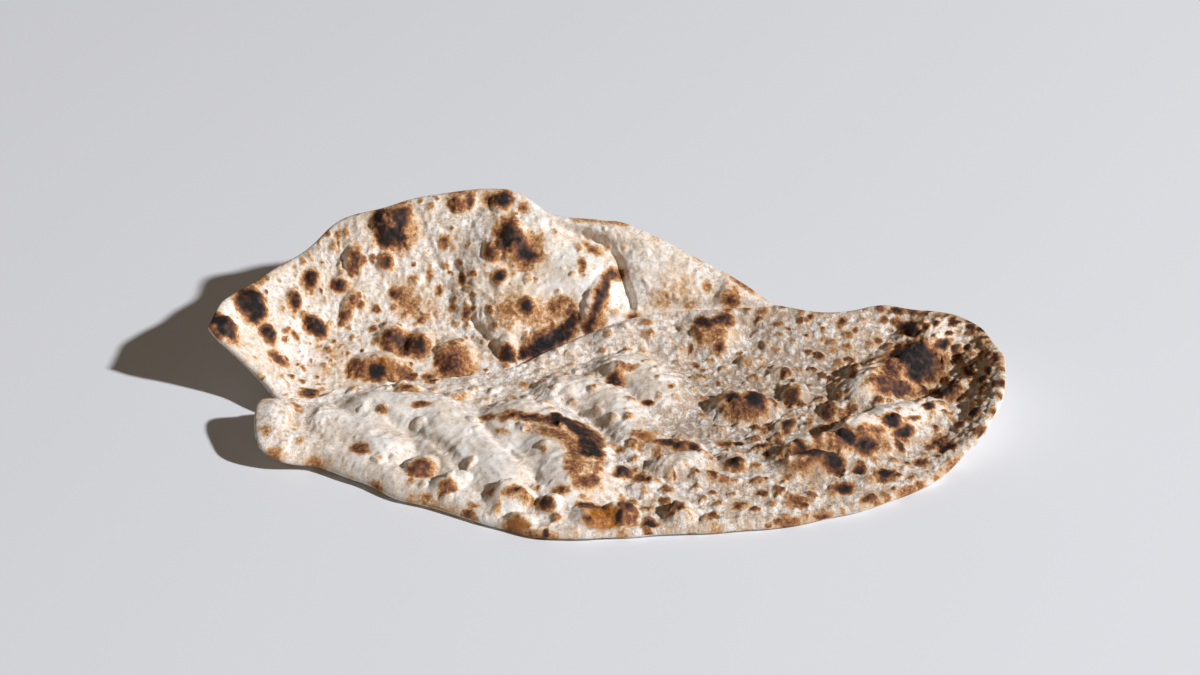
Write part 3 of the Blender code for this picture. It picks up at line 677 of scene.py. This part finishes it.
def finished(piece, tree, values):
    """Runs a tree on the piece with these inputs and leaves the result as its plain mesh."""
    modifier = piece.modifiers.new("shape", "NODES")
    modifier.node_group = tree
    for item in tree.interface.items_tree:
        if item.in_out == "INPUT" and item.name in values:
            modifier[item.identifier] = values[item.name]
    graph = bpy.context.evaluated_depsgraph_get()
    mesh = bpy.data.meshes.new_from_object(piece.evaluated_get(graph))
    piece.modifiers.remove(modifier)
    mesh.name = piece.name
    piece.data = mesh
    return piece


def to_linear(code):
    """The linear colour of an sRGB hex value."""
    parts = [int(code[i : i + 2], 16) / 255 for i in (1, 3, 5)]
    return tuple(p / 12.92 if p <= 0.04045 else ((p + 0.055) / 1.055) ** 2.4 for p in parts) + (1.0,)


# Real widths on the crust: crumbs, freckles in the toast, patches of flour, and the gap between specks.
CRUMB_WIDTH = 1.0
FRECKLE_WIDTH = 1.3
FLOUR_PATCH = 11.0
BRAN_SPACING = 3.0
# How much freckles count in holding flour and in the painted shade of the hollows, how much more painted
# shade crumbly crust gets in its hollows, and how much glossier amber crust is.
FRECKLE_SHARE = 0.4
CRUMBLY_SHADE = 0.22
AMBER_GLOSS = 0.5


def baked_crust(name, flour, cream, hollow_shade_colour):
    """Wholewheat dough baked dry on clay: floury and matt where pale, golden to brown where it blistered,
    and black with a faint gloss where it charred. The bran shows as fine specks. The hollows between the
    crumbs are tanner, partly bare crust and partly painted shade."""
    made = bpy.data.materials.new(name)
    made.use_nodes = True
    tree = made.node_tree
    shader = tree.nodes["Principled BSDF"]
    place = add_node(tree, "ShaderNodeTexCoord").outputs["Object"]
    scorch, raised, amber, crumbly = (
        add_node(tree, "ShaderNodeAttribute", {"attribute_name": label}).outputs["Fac"]
        for label in ("scorch", "raised", "amber", "crumbly")
    )

    # Crumbs: floury on top, tanner between them. The toast is freckled, most where it is half done.
    crumb, freckle = (
        add_node(
            tree, NOISE, {}, {"Vector": place, "Scale": 1 / (width * MM), "Detail": 4.0, "Roughness": 0.7}
        )
        for width in (CRUMB_WIDTH, FRECKLE_WIDTH)
    )
    freckle = add_node(
        tree, RANGE, {},
        {"Value": freckle.outputs[0], "From Min": 0.3, "From Max": 0.7, "To Min": -0.22, "To Max": 0.22},
    )
    undone = add_node(tree, MATH, SUBTRACT, {0: 1.0, 1: scorch})
    half_done = add_node(tree, MATH, MULTIPLY, {0: scorch, 1: undone})
    # Four times the product is 1 at the half.
    half_done = add_node(tree, MATH, MULTIPLY, {0: half_done, 1: 4.0})
    dark = add_node(tree, MATH, MULTIPLY_ADD, {0: freckle, 1: half_done, 2: scorch})
    ramp = add_node(tree, "ShaderNodeValToRGB", {}, {"Fac": dark})
    stops = (
        (0.0, cream), (0.14, "#E2C6A4"), (0.29, "#CBA173"), (0.43, "#AA794B"),
        (0.58, "#805338"), (0.73, "#583728"), (0.87, "#33211A"), (1.0, "#191514"),
    )
    for i, (at, colour) in enumerate(stops):
        stop = ramp.color_ramp.elements[i] if i < 2 else ramp.color_ramp.elements.new(at)
        stop.position = at
        stop.color = to_linear(colour)

    # Pale crust: cream, dusted with flour on what stands up, and tanner in the hollows between the crumbs,
    # where the tan is partly bare crust and partly painted shade.
    patch = add_node(tree, NOISE, {}, {"Vector": place, "Scale": 1 / (FLOUR_PATCH * MM), "Detail": 3.0})
    speckled = add_node(tree, MATH, MULTIPLY_ADD, {0: freckle, 1: FRECKLE_SHARE, 2: raised})
    standing_out = add_node(tree, MATH, SUBTRACT, {0: crumb.outputs[0], 1: 0.5})
    loose = add_node(tree, RANGE, {}, {"Value": crumbly, "From Min": 0.1, "To Min": 0.9, "To Max": 2.2})
    speckled = add_node(tree, MATH, MULTIPLY_ADD, {0: standing_out, 1: loose, 2: speckled})
    # Crumbly crust has lost its flour and gets more of the hollows' tan, partly bare crust and partly
    # painted shade.
    speckled = add_node(tree, MATH, MULTIPLY_ADD, {0: crumbly, 1: -CRUMBLY_SHADE, 2: speckled})
    hollow_shade = add_node(
        tree, RANGE, {},
        {"Value": speckled, "From Min": -0.4, "From Max": 0.08, "To Min": 0.68, "To Max": 0.0},
    )
    pale = add_node(tree, MIX, COLOURS, {"Factor": hollow_shade, "A": to_linear(cream), "B": to_linear(hollow_shade_colour)})
    dusty = add_node(
        tree, RANGE, SMOOTH,
        {"Value": patch.outputs[0], "From Min": 0.38, "From Max": 0.62, "To Min": 0.1, "To Max": 0.85},
    )
    standing = add_node(
        tree, RANGE, {}, {"Value": speckled, "From Min": -0.38, "From Max": 0.08, "To Min": 0.12}
    )
    dusty = add_node(tree, MATH, MULTIPLY, {0: dusty, 1: standing})
    pale = add_node(
        tree, MIX, COLOURS, {"Factor": dusty, "A": pale.outputs["Result"], "B": to_linear(flour)}
    )

    # Bran specks: up to 0.8 mm across with their soft edge.
    bran = add_node(tree, "ShaderNodeTexVoronoi", {}, {"Vector": place, "Scale": 1 / (BRAN_SPACING * MM)})
    bran = add_node(
        tree, RANGE, {},
        {
            "Value": bran.outputs["Distance"],
            "From Min": 0.06, "From Max": 0.13, "To Min": 0.55, "To Max": 0.0,
        },
    )
    pale = add_node(
        tree, MIX, COLOURS, {"Factor": bran, "A": pale.outputs["Result"], "B": to_linear("#8E6B45")}
    )

    # Toast covers the pale crust, and amber shows where it isn't charred.
    shown = add_node(tree, RANGE, SMOOTH, {"Value": dark, "From Min": 0.04, "From Max": 0.36})
    colour = add_node(
        tree, MIX, COLOURS, {"Factor": shown, "A": pale.outputs["Result"], "B": ramp.outputs["Color"]}
    )
    clear = add_node(
        tree, RANGE, {}, {"Value": dark, "From Min": 0.6, "From Max": 0.85, "To Min": 1.0, "To Max": 0.0}
    )
    amber = add_node(tree, MATH, MULTIPLY, {0: amber, 1: clear})
    thick = add_node(tree, RANGE, {}, {"Value": freckle, "From Min": -0.2, "From Max": 0.2})
    gold = add_node(
        tree, MIX, COLOURS, {"Factor": thick, "A": to_linear("#6E360C"), "B": to_linear("#C68638")}
    )
    colour = add_node(
        tree, MIX, COLOURS, {"Factor": amber, "A": colour.outputs["Result"], "B": gold.outputs["Result"]}
    )
    tree.links.new(colour.outputs["Result"], shader.inputs["Base Color"])

    # Flour is matt, char has a faint gloss and amber more. The crumb stands up where the crust is
    # crumbly or charred.
    matt = add_node(
        tree, RANGE, {}, {"Value": dark, "From Min": 0.6, "From Max": 1.0, "To Min": 0.86, "To Max": 0.56}
    )
    matt = add_node(tree, MATH, MULTIPLY_ADD, {0: amber, 1: -AMBER_GLOSS, 2: matt})
    tree.links.new(matt.outputs[0], shader.inputs["Roughness"])
    depth = add_node(
        tree, RANGE, {},
        {"Value": crumbly, "From Min": 0.25, "From Max": 1.0, "To Min": 0.16, "To Max": 1.0},
    )
    blistered = add_node(tree, RANGE, {}, {"Value": dark, "From Min": 0.7, "From Max": 1.0, "To Max": 0.8})
    depth = add_node(tree, MATH, {"operation": "MAXIMUM"}, {0: depth, 1: blistered})
    bump = add_node(
        tree, "ShaderNodeBump", {}, {"Height": crumb.outputs[0], "Strength": depth, "Distance": 0.0014}
    )
    tree.links.new(bump.outputs[0], shader.inputs["Normal"])
    shader.inputs["Specular IOR Level"].default_value = 0.35
    return made


def lies_low(plan):
    """The back half lies on the sagging surface itself."""
    return np.zeros(len(plan))


# The front half's outline is needed here already, because it presses on this half.
FRONT_SEED = 8.2
FRONT_RIM = (
    (-123, -32), (-129.5, -37), (-129, -49), (-126, -59), (-118, -62.5), (-104, -62), (-89, -70),
    (-74, -80), (-58, -87), (-40, -96), (-20, -104.5), (0, -104.5), (30, -102), (62, -98),
    (94, -88), (123, -69), (146, -45), (153, -28), (154, -10), (150, 5), (141, 17.5),
    (126, 24), (111, 26), (89, 23), (67, 25),
)
FRONT_CUT = (
    (67, 25), (44, 24), (25, 23), (8, 20), (-8, 14), (-22, 7), (-34, -1),
    (-56, -8), (-79, -12), (-97, -15), (-108, -23), (-123, -32),
)
back = Half(BACK_RIM, BACK_CUT, BACK_SEED)
front = Half(FRONT_RIM, FRONT_CUT, FRONT_SEED)


def clear_of_front(plan):
    """0 where the front half presses on this one."""
    return eased((front.outside(plan) - TUCK) / TUCK_RUN)


back_half = build_half(
    "roti_back", back, BACK_THICKNESS,
    (
        (
            (BACK_TOP_STEP, lambda plan: front.outside(plan) > 0.0),
            (COVERED_STEP, lambda plan: front.outside(plan) == 0.0),
        ),
        (
            (BACK_UNDER_STEP, lambda plan: lie(plan) > BACK_UNDER_SEEN),
            (FLAT_UNDER_STEP, lambda plan: lie(plan) <= BACK_UNDER_SEEN),
        ),
    ),
    lies_low, clear_of_front,
    lambda plan: relief(plan, BACK_PUFFS, BACK_CREASES, BACK_BLISTERS, back.salt),
    BACK_MARKS, BACK_STREAKS, BACK_FADE_FROM, BACK_AMBER, BACK_AREAS,
)
crust_relief = crust_relief_tree()
# The last colour is the hollows' tan, partly bare crust and partly painted shade.
back_crust = baked_crust("floury baked crust, back", "#F4F3F1", "#E5D9C8", "#A07A52")
finished(back_half, crust_relief, {
    "Crust": back_crust, "Blister Radius": 3.2, "Blister Height": 1.0, "Blister Toast": 0.85,
})
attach(back_half, "root")
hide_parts("roti_back_half")

# The front half
# The upper half, the same dough, laid over the back half's cut edge. It is puffed in large soft pillows
# at the left and crumbly and more burnt at the right, where its rim stands up in a wall.
FRONT_THICKNESS = 3.9
FRONT_TOP_STEP = 0.61
FRONT_UNDER_STEP = 1.4
FRONT_UNDER_SEEN = 8.0
# It lies this far above the back half, and past the back half's outline it comes down over the run.
LAYER_GAP = 0.6
LIFT_START = 4.0
LIFT_RUN = 26.0

FRONT_PUFFS = (
    (((-104, -40), (-90, -46), (-79, -57)), 13.0, 4.2),
    (((-84, -33), (-64, -37), (-53, -51), (-43, -66), (-34, -77)), 18.0, 6.0),
    (((-30, -44), (-18, -53), (-13, -68), (-10, -80)), 21.0, 7.0),
    (((-14, -21), (-1, -24), (8, -37), (13, -49)), 14.0, 5.2),
    (((9, -7), (18, -14), (22, -25)), 17.0, 6.5),
    (((3, 13), (20, 15), (28, 11)), 8.0, 3.2),
    (((90, -57), (102, -47), (116, -37), (124, -33)), 14.0, 7.0),
    (((103, -21), (111, -10), (119, 0), (129, 8)), 17.0, 9.0),
    (((-124, -42), (-121, -54), (-106, -56), (-90, -62), (-76, -72), (-58, -81), (-38, -89)), 7.0, 2.4),
    (((67, 15), (87, 13), (104, 13)), 9.0, 2.2),
)
FRONT_CREASES = (
    (((-110, -36), (-112, -44), (-105, -53), (-92, -60)), 3.0, 0.8),
    (((-86, -36), (-76, -44), (-66, -52), (-57, -62), (-50, -74)), 3.0, 1.2),
    (((-44, -46), (-38, -58), (-31, -69), (-23, -80)), 3.0, 1.2),
    (((-16, -27), (-4, -39), (3, -50), (5, -62), (5, -76)), 3.0, 1.0),
    (((-22, -3), (-4, 3), (8, 7)), 2.5, 0.8),
    (((67, -67), (76, -66), (86, -66)), 2.2, 2.4),
    (((74, -76), (80, -73), (86, -73)), 3.0, 2.0),
    (((80, -50), (90, -41), (102, -30), (113, -23)), 4.5, 1.6),
)
FRONT_BLISTERS = (
    (-73, -18, 14, 10, 0, 3.0), (-53, -22, 12, 8, 0, 2.5), (-65, -69, 15, 12, 0, 4.2),
    (-54, -79, 17, 9, 10, 3.5), (-32, -88, 19, 12, 0, 5.0), (-18, -92, 10, 8, 0, 3.4),
    (-29, -97, 13, 8, 0, 2.8), (6, -13, 10, 10, 25, 2.6), (43, 14, 27, 23, 0, 6.0),
    (57, 1, 10, 11, 0, 2.2), (69, -6, 11, 12, 30, 2.4), (54, -32, 31, 22, 0, 7.0),
    (74, -22, 15, 12, 80, 4.4), (68, -44, 12, 9, 40, 3.0), (28, -58, 26, 10, 5, 3.8),
    (30, -69, 30, 15, 10, 4.6), (49, -67, 13, 11, 0, 3.4), (76, -66, 32, 22, 0, 6.0),
    (76, -62, 24, 7, 8, 2.4), (38, -76, 15, 7, 0, 2.4), (7, -74, 12, 7, 0, 3.0), (15, -82, 13, 7, 10, 2.4),
    (8, -95, 14, 12, 0, 5.0), (-3, -97, 17, 11, 0, 3.0), (29, -95, 14, 12, 20, 4.8),
    (97, -6, 7, 14, 0, 3.0), (87, -33, 12, 12, 0, 3.4), (94, -51, 18, 12, -10, 2.4),
    (137, -23, 16, 9, 20, 3.8), (144, -4, 10, 7, 0, 2.8), (121, 0, 19, 24, 0, 2.6),
    (123, 17, 16, 7, 0, 2.6),
)
FRONT_MARKS = (
    (-73, -22, 12, 9, 15, 0.6), (-73, -21, 8, 4.5, 10, 0.72), (-53, -25, 11, 5.5, 15, 0.4),
    (-64, -11, 7, 4.5, 30, 0.74), (-29, -15, 5, 5.5, 20, 0.5), (-33, -24, 6, 5, -90, 0.42),
    (-81, -39, 6, 4.5, -15, 0.6), (-67, -37, 9, 4.5, 5, 0.74), (-42, -43, 11, 5.5, -40, 0.66),
    (-36, -53, 10, 4.5, -25, 0.42), (-88, -60, 10, 5.5, -35, 0.72), (-116, -37, 6, 4.5, -30, 0.52),
    (-116, -49, 6, 5, 55, 0.3), (10, -13, 13, 6, 25, 0.6), (6, -18, 9, 7, -10, 0.84),
    (18, -33, 5, 3, -15, 0.9), (18, -33, 8, 4, -10, 0.46), (27, -24, 6, 3, 65, 0.68),
    (-13, -7, 6, 5.5, -90, 0.46), (37, 13, 13, 5, -75, 0.72), (46, 7, 9, 6, 70, 0.72),
    (44, 13, 19, 18, 0, 0.5), (37, -1, 6, 5, -65, 0.6), (57, -1, 8, 7, 10, 0.36), (122, -2, 25, 21, -5, 1),
    (123, -8, 18, 10, 50, 1), (121, 17, 12, 6, -30, 1), (121, 14, 12, 3, -20, 0.8),
    (136, 5, 7, 5, 30, 0.96), (110, -14, 17, 10, 80, 0.76), (111, -22, 26, 9, 20, 0.8),
    (127, -10, 11, 4, 40, 0.7), (120, -8, 43, 30, 60, 0.46), (139, 16, 5, 3, -65, 0.86),
    (141, -2, 10, 5, -70, 0.74), (143, -12, 10, 4, -80, 0.88), (146, -21, 6, 3, -80, 0.6),
    (139, -22, 12, 3, -55, 0.52), (134, -23, 10, 9, -65, 1), (125, -35, 6, 4, 20, 1),
    (152, -30, 6, 4, 60, 0.88), (153, -13, 8, 3, -80, 0.76), (146, 10, 4, 3, -60, 0.72),
    (151, -1, 6, 3, -85, 0.55), (153, -19, 6, 3, -90, 0.5), (149, -16, 6, 3, -80, 0.48),
    (116, 24, 6, 3, 0, 0.9), (126, 22, 7, 3, -10, 0.68), (133, 20, 6, 3, -35, 0.56),
    (94, 19, 8, 4, 45, 0.74), (99, 16, 4, 3, 75, 0.68), (82, 21, 4, 3, 0, 0.72), (90, 7, 6, 4, 20, 0.5),
    (96, -16, 10, 4, -85, 0.76), (97, 2, 8, 3, 60, 0.52), (70, -9, 7, 4, 85, 0.74),
    (86, 12, 6, 3, 50, 0.42), (73, -26, 11, 7, 70, 0.72), (71, -23, 10, 3, -90, 0.5),
    (86, -34, 16, 5, -90, 0.76), (94, -33, 8, 3, 10, 0.66), (108, -47, 9, 6, 40, 1),
    (117, -43, 9, 3, 35, 0.68), (112, -50, 10, 4, 40, 0.96), (70, -44, 14, 4, 65, 0.84),
    (79, -38, 7, 4, 70, 0.5), (58, -34, 12, 8, 85, 1), (50, -33, 10, 6, -25, 0.92),
    (53, -38, 19, 10, -10, 0.68), (53, -38, 22, 13, -10, 0.46), (61, -45, 9, 5, 70, 0.58),
    (39, -10, 6, 4, 65, 0.58), (45, -15, 6, 3, 80, 0.56), (34, -60, 4, 3, 20, 0.95),
    (46, -54, 8, 6, 15, 0.7), (51, -54, 4, 3, 0, 0.94), (60, -56, 10, 4, 35, 0.78),
    (66, -54, 5, 4, 0, 0.76), (49, -69, 7, 4, 5, 0.97), (50, -71, 10, 4, 5, 0.62),
    (61, -61, 5, 3, -90, 0.82), (35, -76, 4, 3, -45, 0.66), (41, -75, 9, 5, 85, 0.74),
    (40, -67, 6, 3, 55, 0.42), (73, -64, 20, 3, -45, 0.8), (77, -68, 15, 6, -10, 0.98),
    (85, -70, 9, 7, 20, 0.98), (72, -73, 17, 8, -5, 0.5), (66, -65, 12, 4, -90, 0.64),
    (76, -72, 11, 3, 25, 0.78), (90, -60, 10, 7, 80, 1), (97, -61, 11, 6, 25, 1),
    (102, -54, 11, 5, 35, 0.68), (98, -58, 25, 10, 20, 0.54), (79, -63, 9, 6, 85, 0.64),
    (86, -63, 10, 8, 20, 0.72), (92, -33, 14, 3, 40, 0.6), (111, -40, 6, 4, 35, 0.52),
    (95, -68, 6, 3, 15, 0.52), (94, -71, 7, 4, 40, 0.9), (67, -76, 9, 5, 25, 0.4), (54, -78, 6, 3, 0, 0.4),
    (-2, -94, 12, 5, -5, 0.9), (7, -99, 5, 4, -85, 0.94), (-4, -100, 4, 3, 0, 0.9),
    (10, -96, 11, 8, 80, 0.8), (12, -98, 6, 4, 50, 0.5), (18, -100, 8, 5, 10, 0.88),
    (28, -95, 9, 5, -15, 0.68), (25, -96, 6, 3, -45, 0.5), (-30, -89, 11, 4.5, 10, 0.74),
    (-14, -88, 9, 5, -20, 0.62), (-19, -93, 7, 4, -30, 0.86), (-29, -100, 11, 5, -15, 0.7),
    (-47, -92, 7, 3, -20, 0.72), (-45, -90, 8, 3, -20, 0.54), (-65, -72, 12, 8, 15, 0.72),
    (-68, -73, 7, 4.5, -15, 0.72), (-55, -83, 11, 6, 0, 0.6), (-68, -77, 7, 5.5, 0, 0.42),
    (-39, -87, 8, 4.5, -65, 0.42), (-19, -104, 3, 3, -90, 0.84), (-21, -68, 8, 4.5, -60, 0.4),
    (8, -76, 9, 4, 25, 0.88), (12, -72, 8, 4, 70, 0.6), (15, -77, 10, 9, 0, 0.76),
    (7, -59, 6, 3, -30, 0.56), (14, -60, 6, 3, -5, 0.42), (27, -59, 17, 6, -15, 0.84),
    (35, -60, 5, 3, 45, 0.74), (21, -62, 10, 6, -85, 0.4), (16, -54, 10, 7, -5, 0.62),
    (-6, -90, 7, 3, 15, 0.4), (20, -87, 7, 4, 0, 0.38), (-63, -84, 7, 4.5, -20, 0.5),
    (8, -87, 7, 5, 85, 0.42), (149, 8, 5, 3, -60, 0.84), (145, 14, 5, 3, -50, 0.76),
    (70, -88, 12, 8, 10, 0.62), (88, -80, 9, 6, 20, 0.88), (104, -72, 15, 9, 30, 0.64),
    (104, -71, 8, 5, 30, 0.98), (118, -62, 8, 6, 30, 0.8), (50, -90, 9, 6, 0, 0.6),
    (58, -84, 5, 4, 0, 0.86), (126, -50, 14, 9, 40, 0.62), (129, -54, 8, 5, 40, 0.97),
    (137, -42, 6, 5, 0, 0.62), (40, -96, 6, 4, 0, 0.74), (80, -93, 9, 4, 10, 0.72),
    (96, -85, 7, 4, 20, 0.58), (142, -50, 6, 4, 50, 0.8), (116, -74, 6, 4, 40, 0.58),
    (135, -62, 7, 4, 40, 0.74), (64, -97, 8, 3, 5, 0.62), (148, -4, 16, 46, -6, 0.32),
    # The first mark on the next line is a faint wash of painted shade over the front half's left tip.
    (-121, -47, 24, 34, 0, 0.12), (-117, -34, 8, 4, -20, 0.62), (-113, -56, 7, 5, 30, 0.36),
    (-117, -46, 12, 4, 10, 0.28), (-126, -54, 5, 9, 10, 0.42),
)
FRONT_AMBER = (
    (1, -99, 18, 12, 5, 1), (-29, -100, 10, 4, -15, 0.55), (18, -55, 8, 6, 75, 0.6),
    (78, -73, 12, 6, 20, 0.35),
)
# Burnt streaks along the crests: plan route, width, how dark.
FRONT_STREAKS = (
    (((-15, -49), (-10, -51), (-6, -56), (-4, -63), (-4, -69)), 10.0, 0.93),
    (((-8, -47), (-3, -51), (-1, -57), (-1, -64), (-2, -70)), 7.0, 0.74),
    (((-34, -45), (-29, -46), (-23, -48), (-15, -50)), 8.0, 0.68),
    (((-29, -46), (-24, -46)), 3.4, 0.86),
    (((-19, -56), (-13, -61), (-10, -69), (-9, -76), (-9, -81)), 9.5, 0.56),
    (((-8, -85), (-5, -85), (-1, -83)), 6.5, 0.62),
    (((-1, -72), (0, -78), (-1, -83)), 4.5, 0.54),
    (((-24, -53), (-14, -58), (-7, -66), (-5, -76), (-5, -83)), 16.0, 0.34),
    (((38, 18), (43, 17.5), (49, 19)), 6.5, 0.86),
)
# Its marks keep their full darkness further out than the back half's.
FRONT_FADE_FROM = 0.36
# How blistered, crumbly and freckled with toast the crust is around some places: x, y, then the three. From
# x 75 to the right end the crumb and toast are set higher, partly as painted shade to darken that end.
FRONT_AREAS = (
    (-115, -50, 0.2, 0.55, 0.4), (-90, -50, 0.1, 0.22, 0.2), (-60, -50, 0.12, 0.28, 0.25),
    (-30, -60, 0.12, 0.22, 0.25), (-60, -15, 0.5, 0.5, 0.5), (-25, -10, 0.5, 0.6, 0.5),
    (15, 15, 0.4, 0.6, 0.5), (10, -30, 0.25, 0.4, 0.5), (38, -15, 0.6, 1.0, 0.5), (35, -42, 0.6, 1.0, 0.5),
    (80, -10, 0.7, 1.25, 0.8), (95, 8, 0.9, 0.9, 0.9), (75, -40, 0.6, 1.25, 0.8),
    (110, -30, 0.4, 1.0, 0.8), (145, -15, 1.0, 0.8, 1.3), (148, -45, 1.0, 0.8, 1.3),
    (130, -70, 0.7, 0.8, 0.9), (30, -85, 0.8, 0.7, 0.8), (-20, -98, 0.5, 0.4, 0.6),
    (60, -90, 0.7, 0.7, 0.8), (-80, -78, 0.3, 0.2, 0.4),
)


def lies_over(plan):
    """The front half climbs onto the back half and comes down past its outline."""
    return (BACK_THICKNESS + LAYER_GAP) * (1.0 - eased((back.outside(plan) - LIFT_START) / LIFT_RUN))


front_half = build_half(
    "roti_front", front, FRONT_THICKNESS,
    (
        ((FRONT_TOP_STEP, lambda plan: np.ones(len(plan), bool)),),
        (
            (FRONT_UNDER_STEP, lambda plan: lie(plan) > FRONT_UNDER_SEEN),
            (FLAT_UNDER_STEP, lambda plan: lie(plan) <= FRONT_UNDER_SEEN),
        ),
    ),
    lies_over, lambda plan: np.ones(len(plan)),
    lambda plan: relief(plan, FRONT_PUFFS, FRONT_CREASES, FRONT_BLISTERS, front.salt),
    FRONT_MARKS, FRONT_STREAKS, FRONT_FADE_FROM, FRONT_AMBER, FRONT_AREAS,
)
# The last colour is the hollows' tan, partly bare crust and partly painted shade.
front_crust = baked_crust("floury baked crust, front", "#F6F5F3", "#E8DDCE", "#A37D58")
finished(front_half, crust_relief, {"Crust": front_crust})
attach(front_half, "root")
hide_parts("roti_front_half")

# The stage
# A plain pale floor under one strong soft lamp from the front right, low enough to draw the blisters,
# and a weak even warm sky that fills the shade. The camera looks down from the front. All in metres.
FLOOR_REACH = 4.0
floor_mesh = bpy.data.meshes.new("floor")
corners = [(x * FLOOR_REACH, y * FLOOR_REACH, 0.0) for x, y in ((-1, -1), (1, -1), (1, 1), (-1, 1))]
floor_mesh.from_pydata(corners, [], [(0, 1, 2, 3)])
floor = bpy.data.objects.new("floor", floor_mesh)
bpy.context.scene.collection.objects.link(floor)
stone = bpy.data.materials.new("pale matt floor")
stone.use_nodes = True
finish = stone.node_tree.nodes["Principled BSDF"].inputs
finish["Base Color"].default_value = to_linear("#E2E6EB")
finish["Roughness"].default_value = 0.9
finish["Specular IOR Level"].default_value = 0.1
floor_mesh.materials.append(stone)

KEY_FROM = Vector((0.73, -0.34, 0.55)).normalized()
KEY_DISTANCE = 6.0
KEY_SIZE = 0.28
KEY_POWER = 492.0
lamp = bpy.data.lights.new("key lamp", "AREA")
lamp.shape = "DISK"
lamp.size = KEY_SIZE
lamp.energy = KEY_POWER
lamp.color = to_linear("#FCFCFF")[:3]
key = bpy.data.objects.new("key lamp", lamp)
key.location = KEY_FROM * KEY_DISTANCE
key.rotation_euler = (-KEY_FROM).to_track_quat("-Z", "Y").to_euler()
sky = bpy.data.worlds.new("even sky")
sky.use_nodes = True
glow = sky.node_tree.nodes["Background"].inputs
glow["Color"].default_value = to_linear("#EED6BC")
glow["Strength"].default_value = 0.145
bpy.context.scene.world = sky
bpy.context.scene.view_settings.view_transform = "Standard"

LOOK_DOWN = math.radians(32.0)
TARGET = Vector((-MIDDLE[0], -MIDDLE[1], 20.0)) * MM
CAMERA_DISTANCE = 1.022
lens = bpy.data.cameras.new("camera")
lens.lens = 80.0
lens.sensor_width = 36.0
camera = bpy.data.objects.new("camera", lens)
camera.location = TARGET + Vector((0.0, -math.cos(LOOK_DOWN), math.sin(LOOK_DOWN))) * CAMERA_DISTANCE
camera.rotation_euler = (math.pi / 2.0 - LOOK_DOWN, 0.0, 0.0)
for placed in (key, camera):
    bpy.context.scene.collection.objects.link(placed)
bpy.context.scene.camera = camera
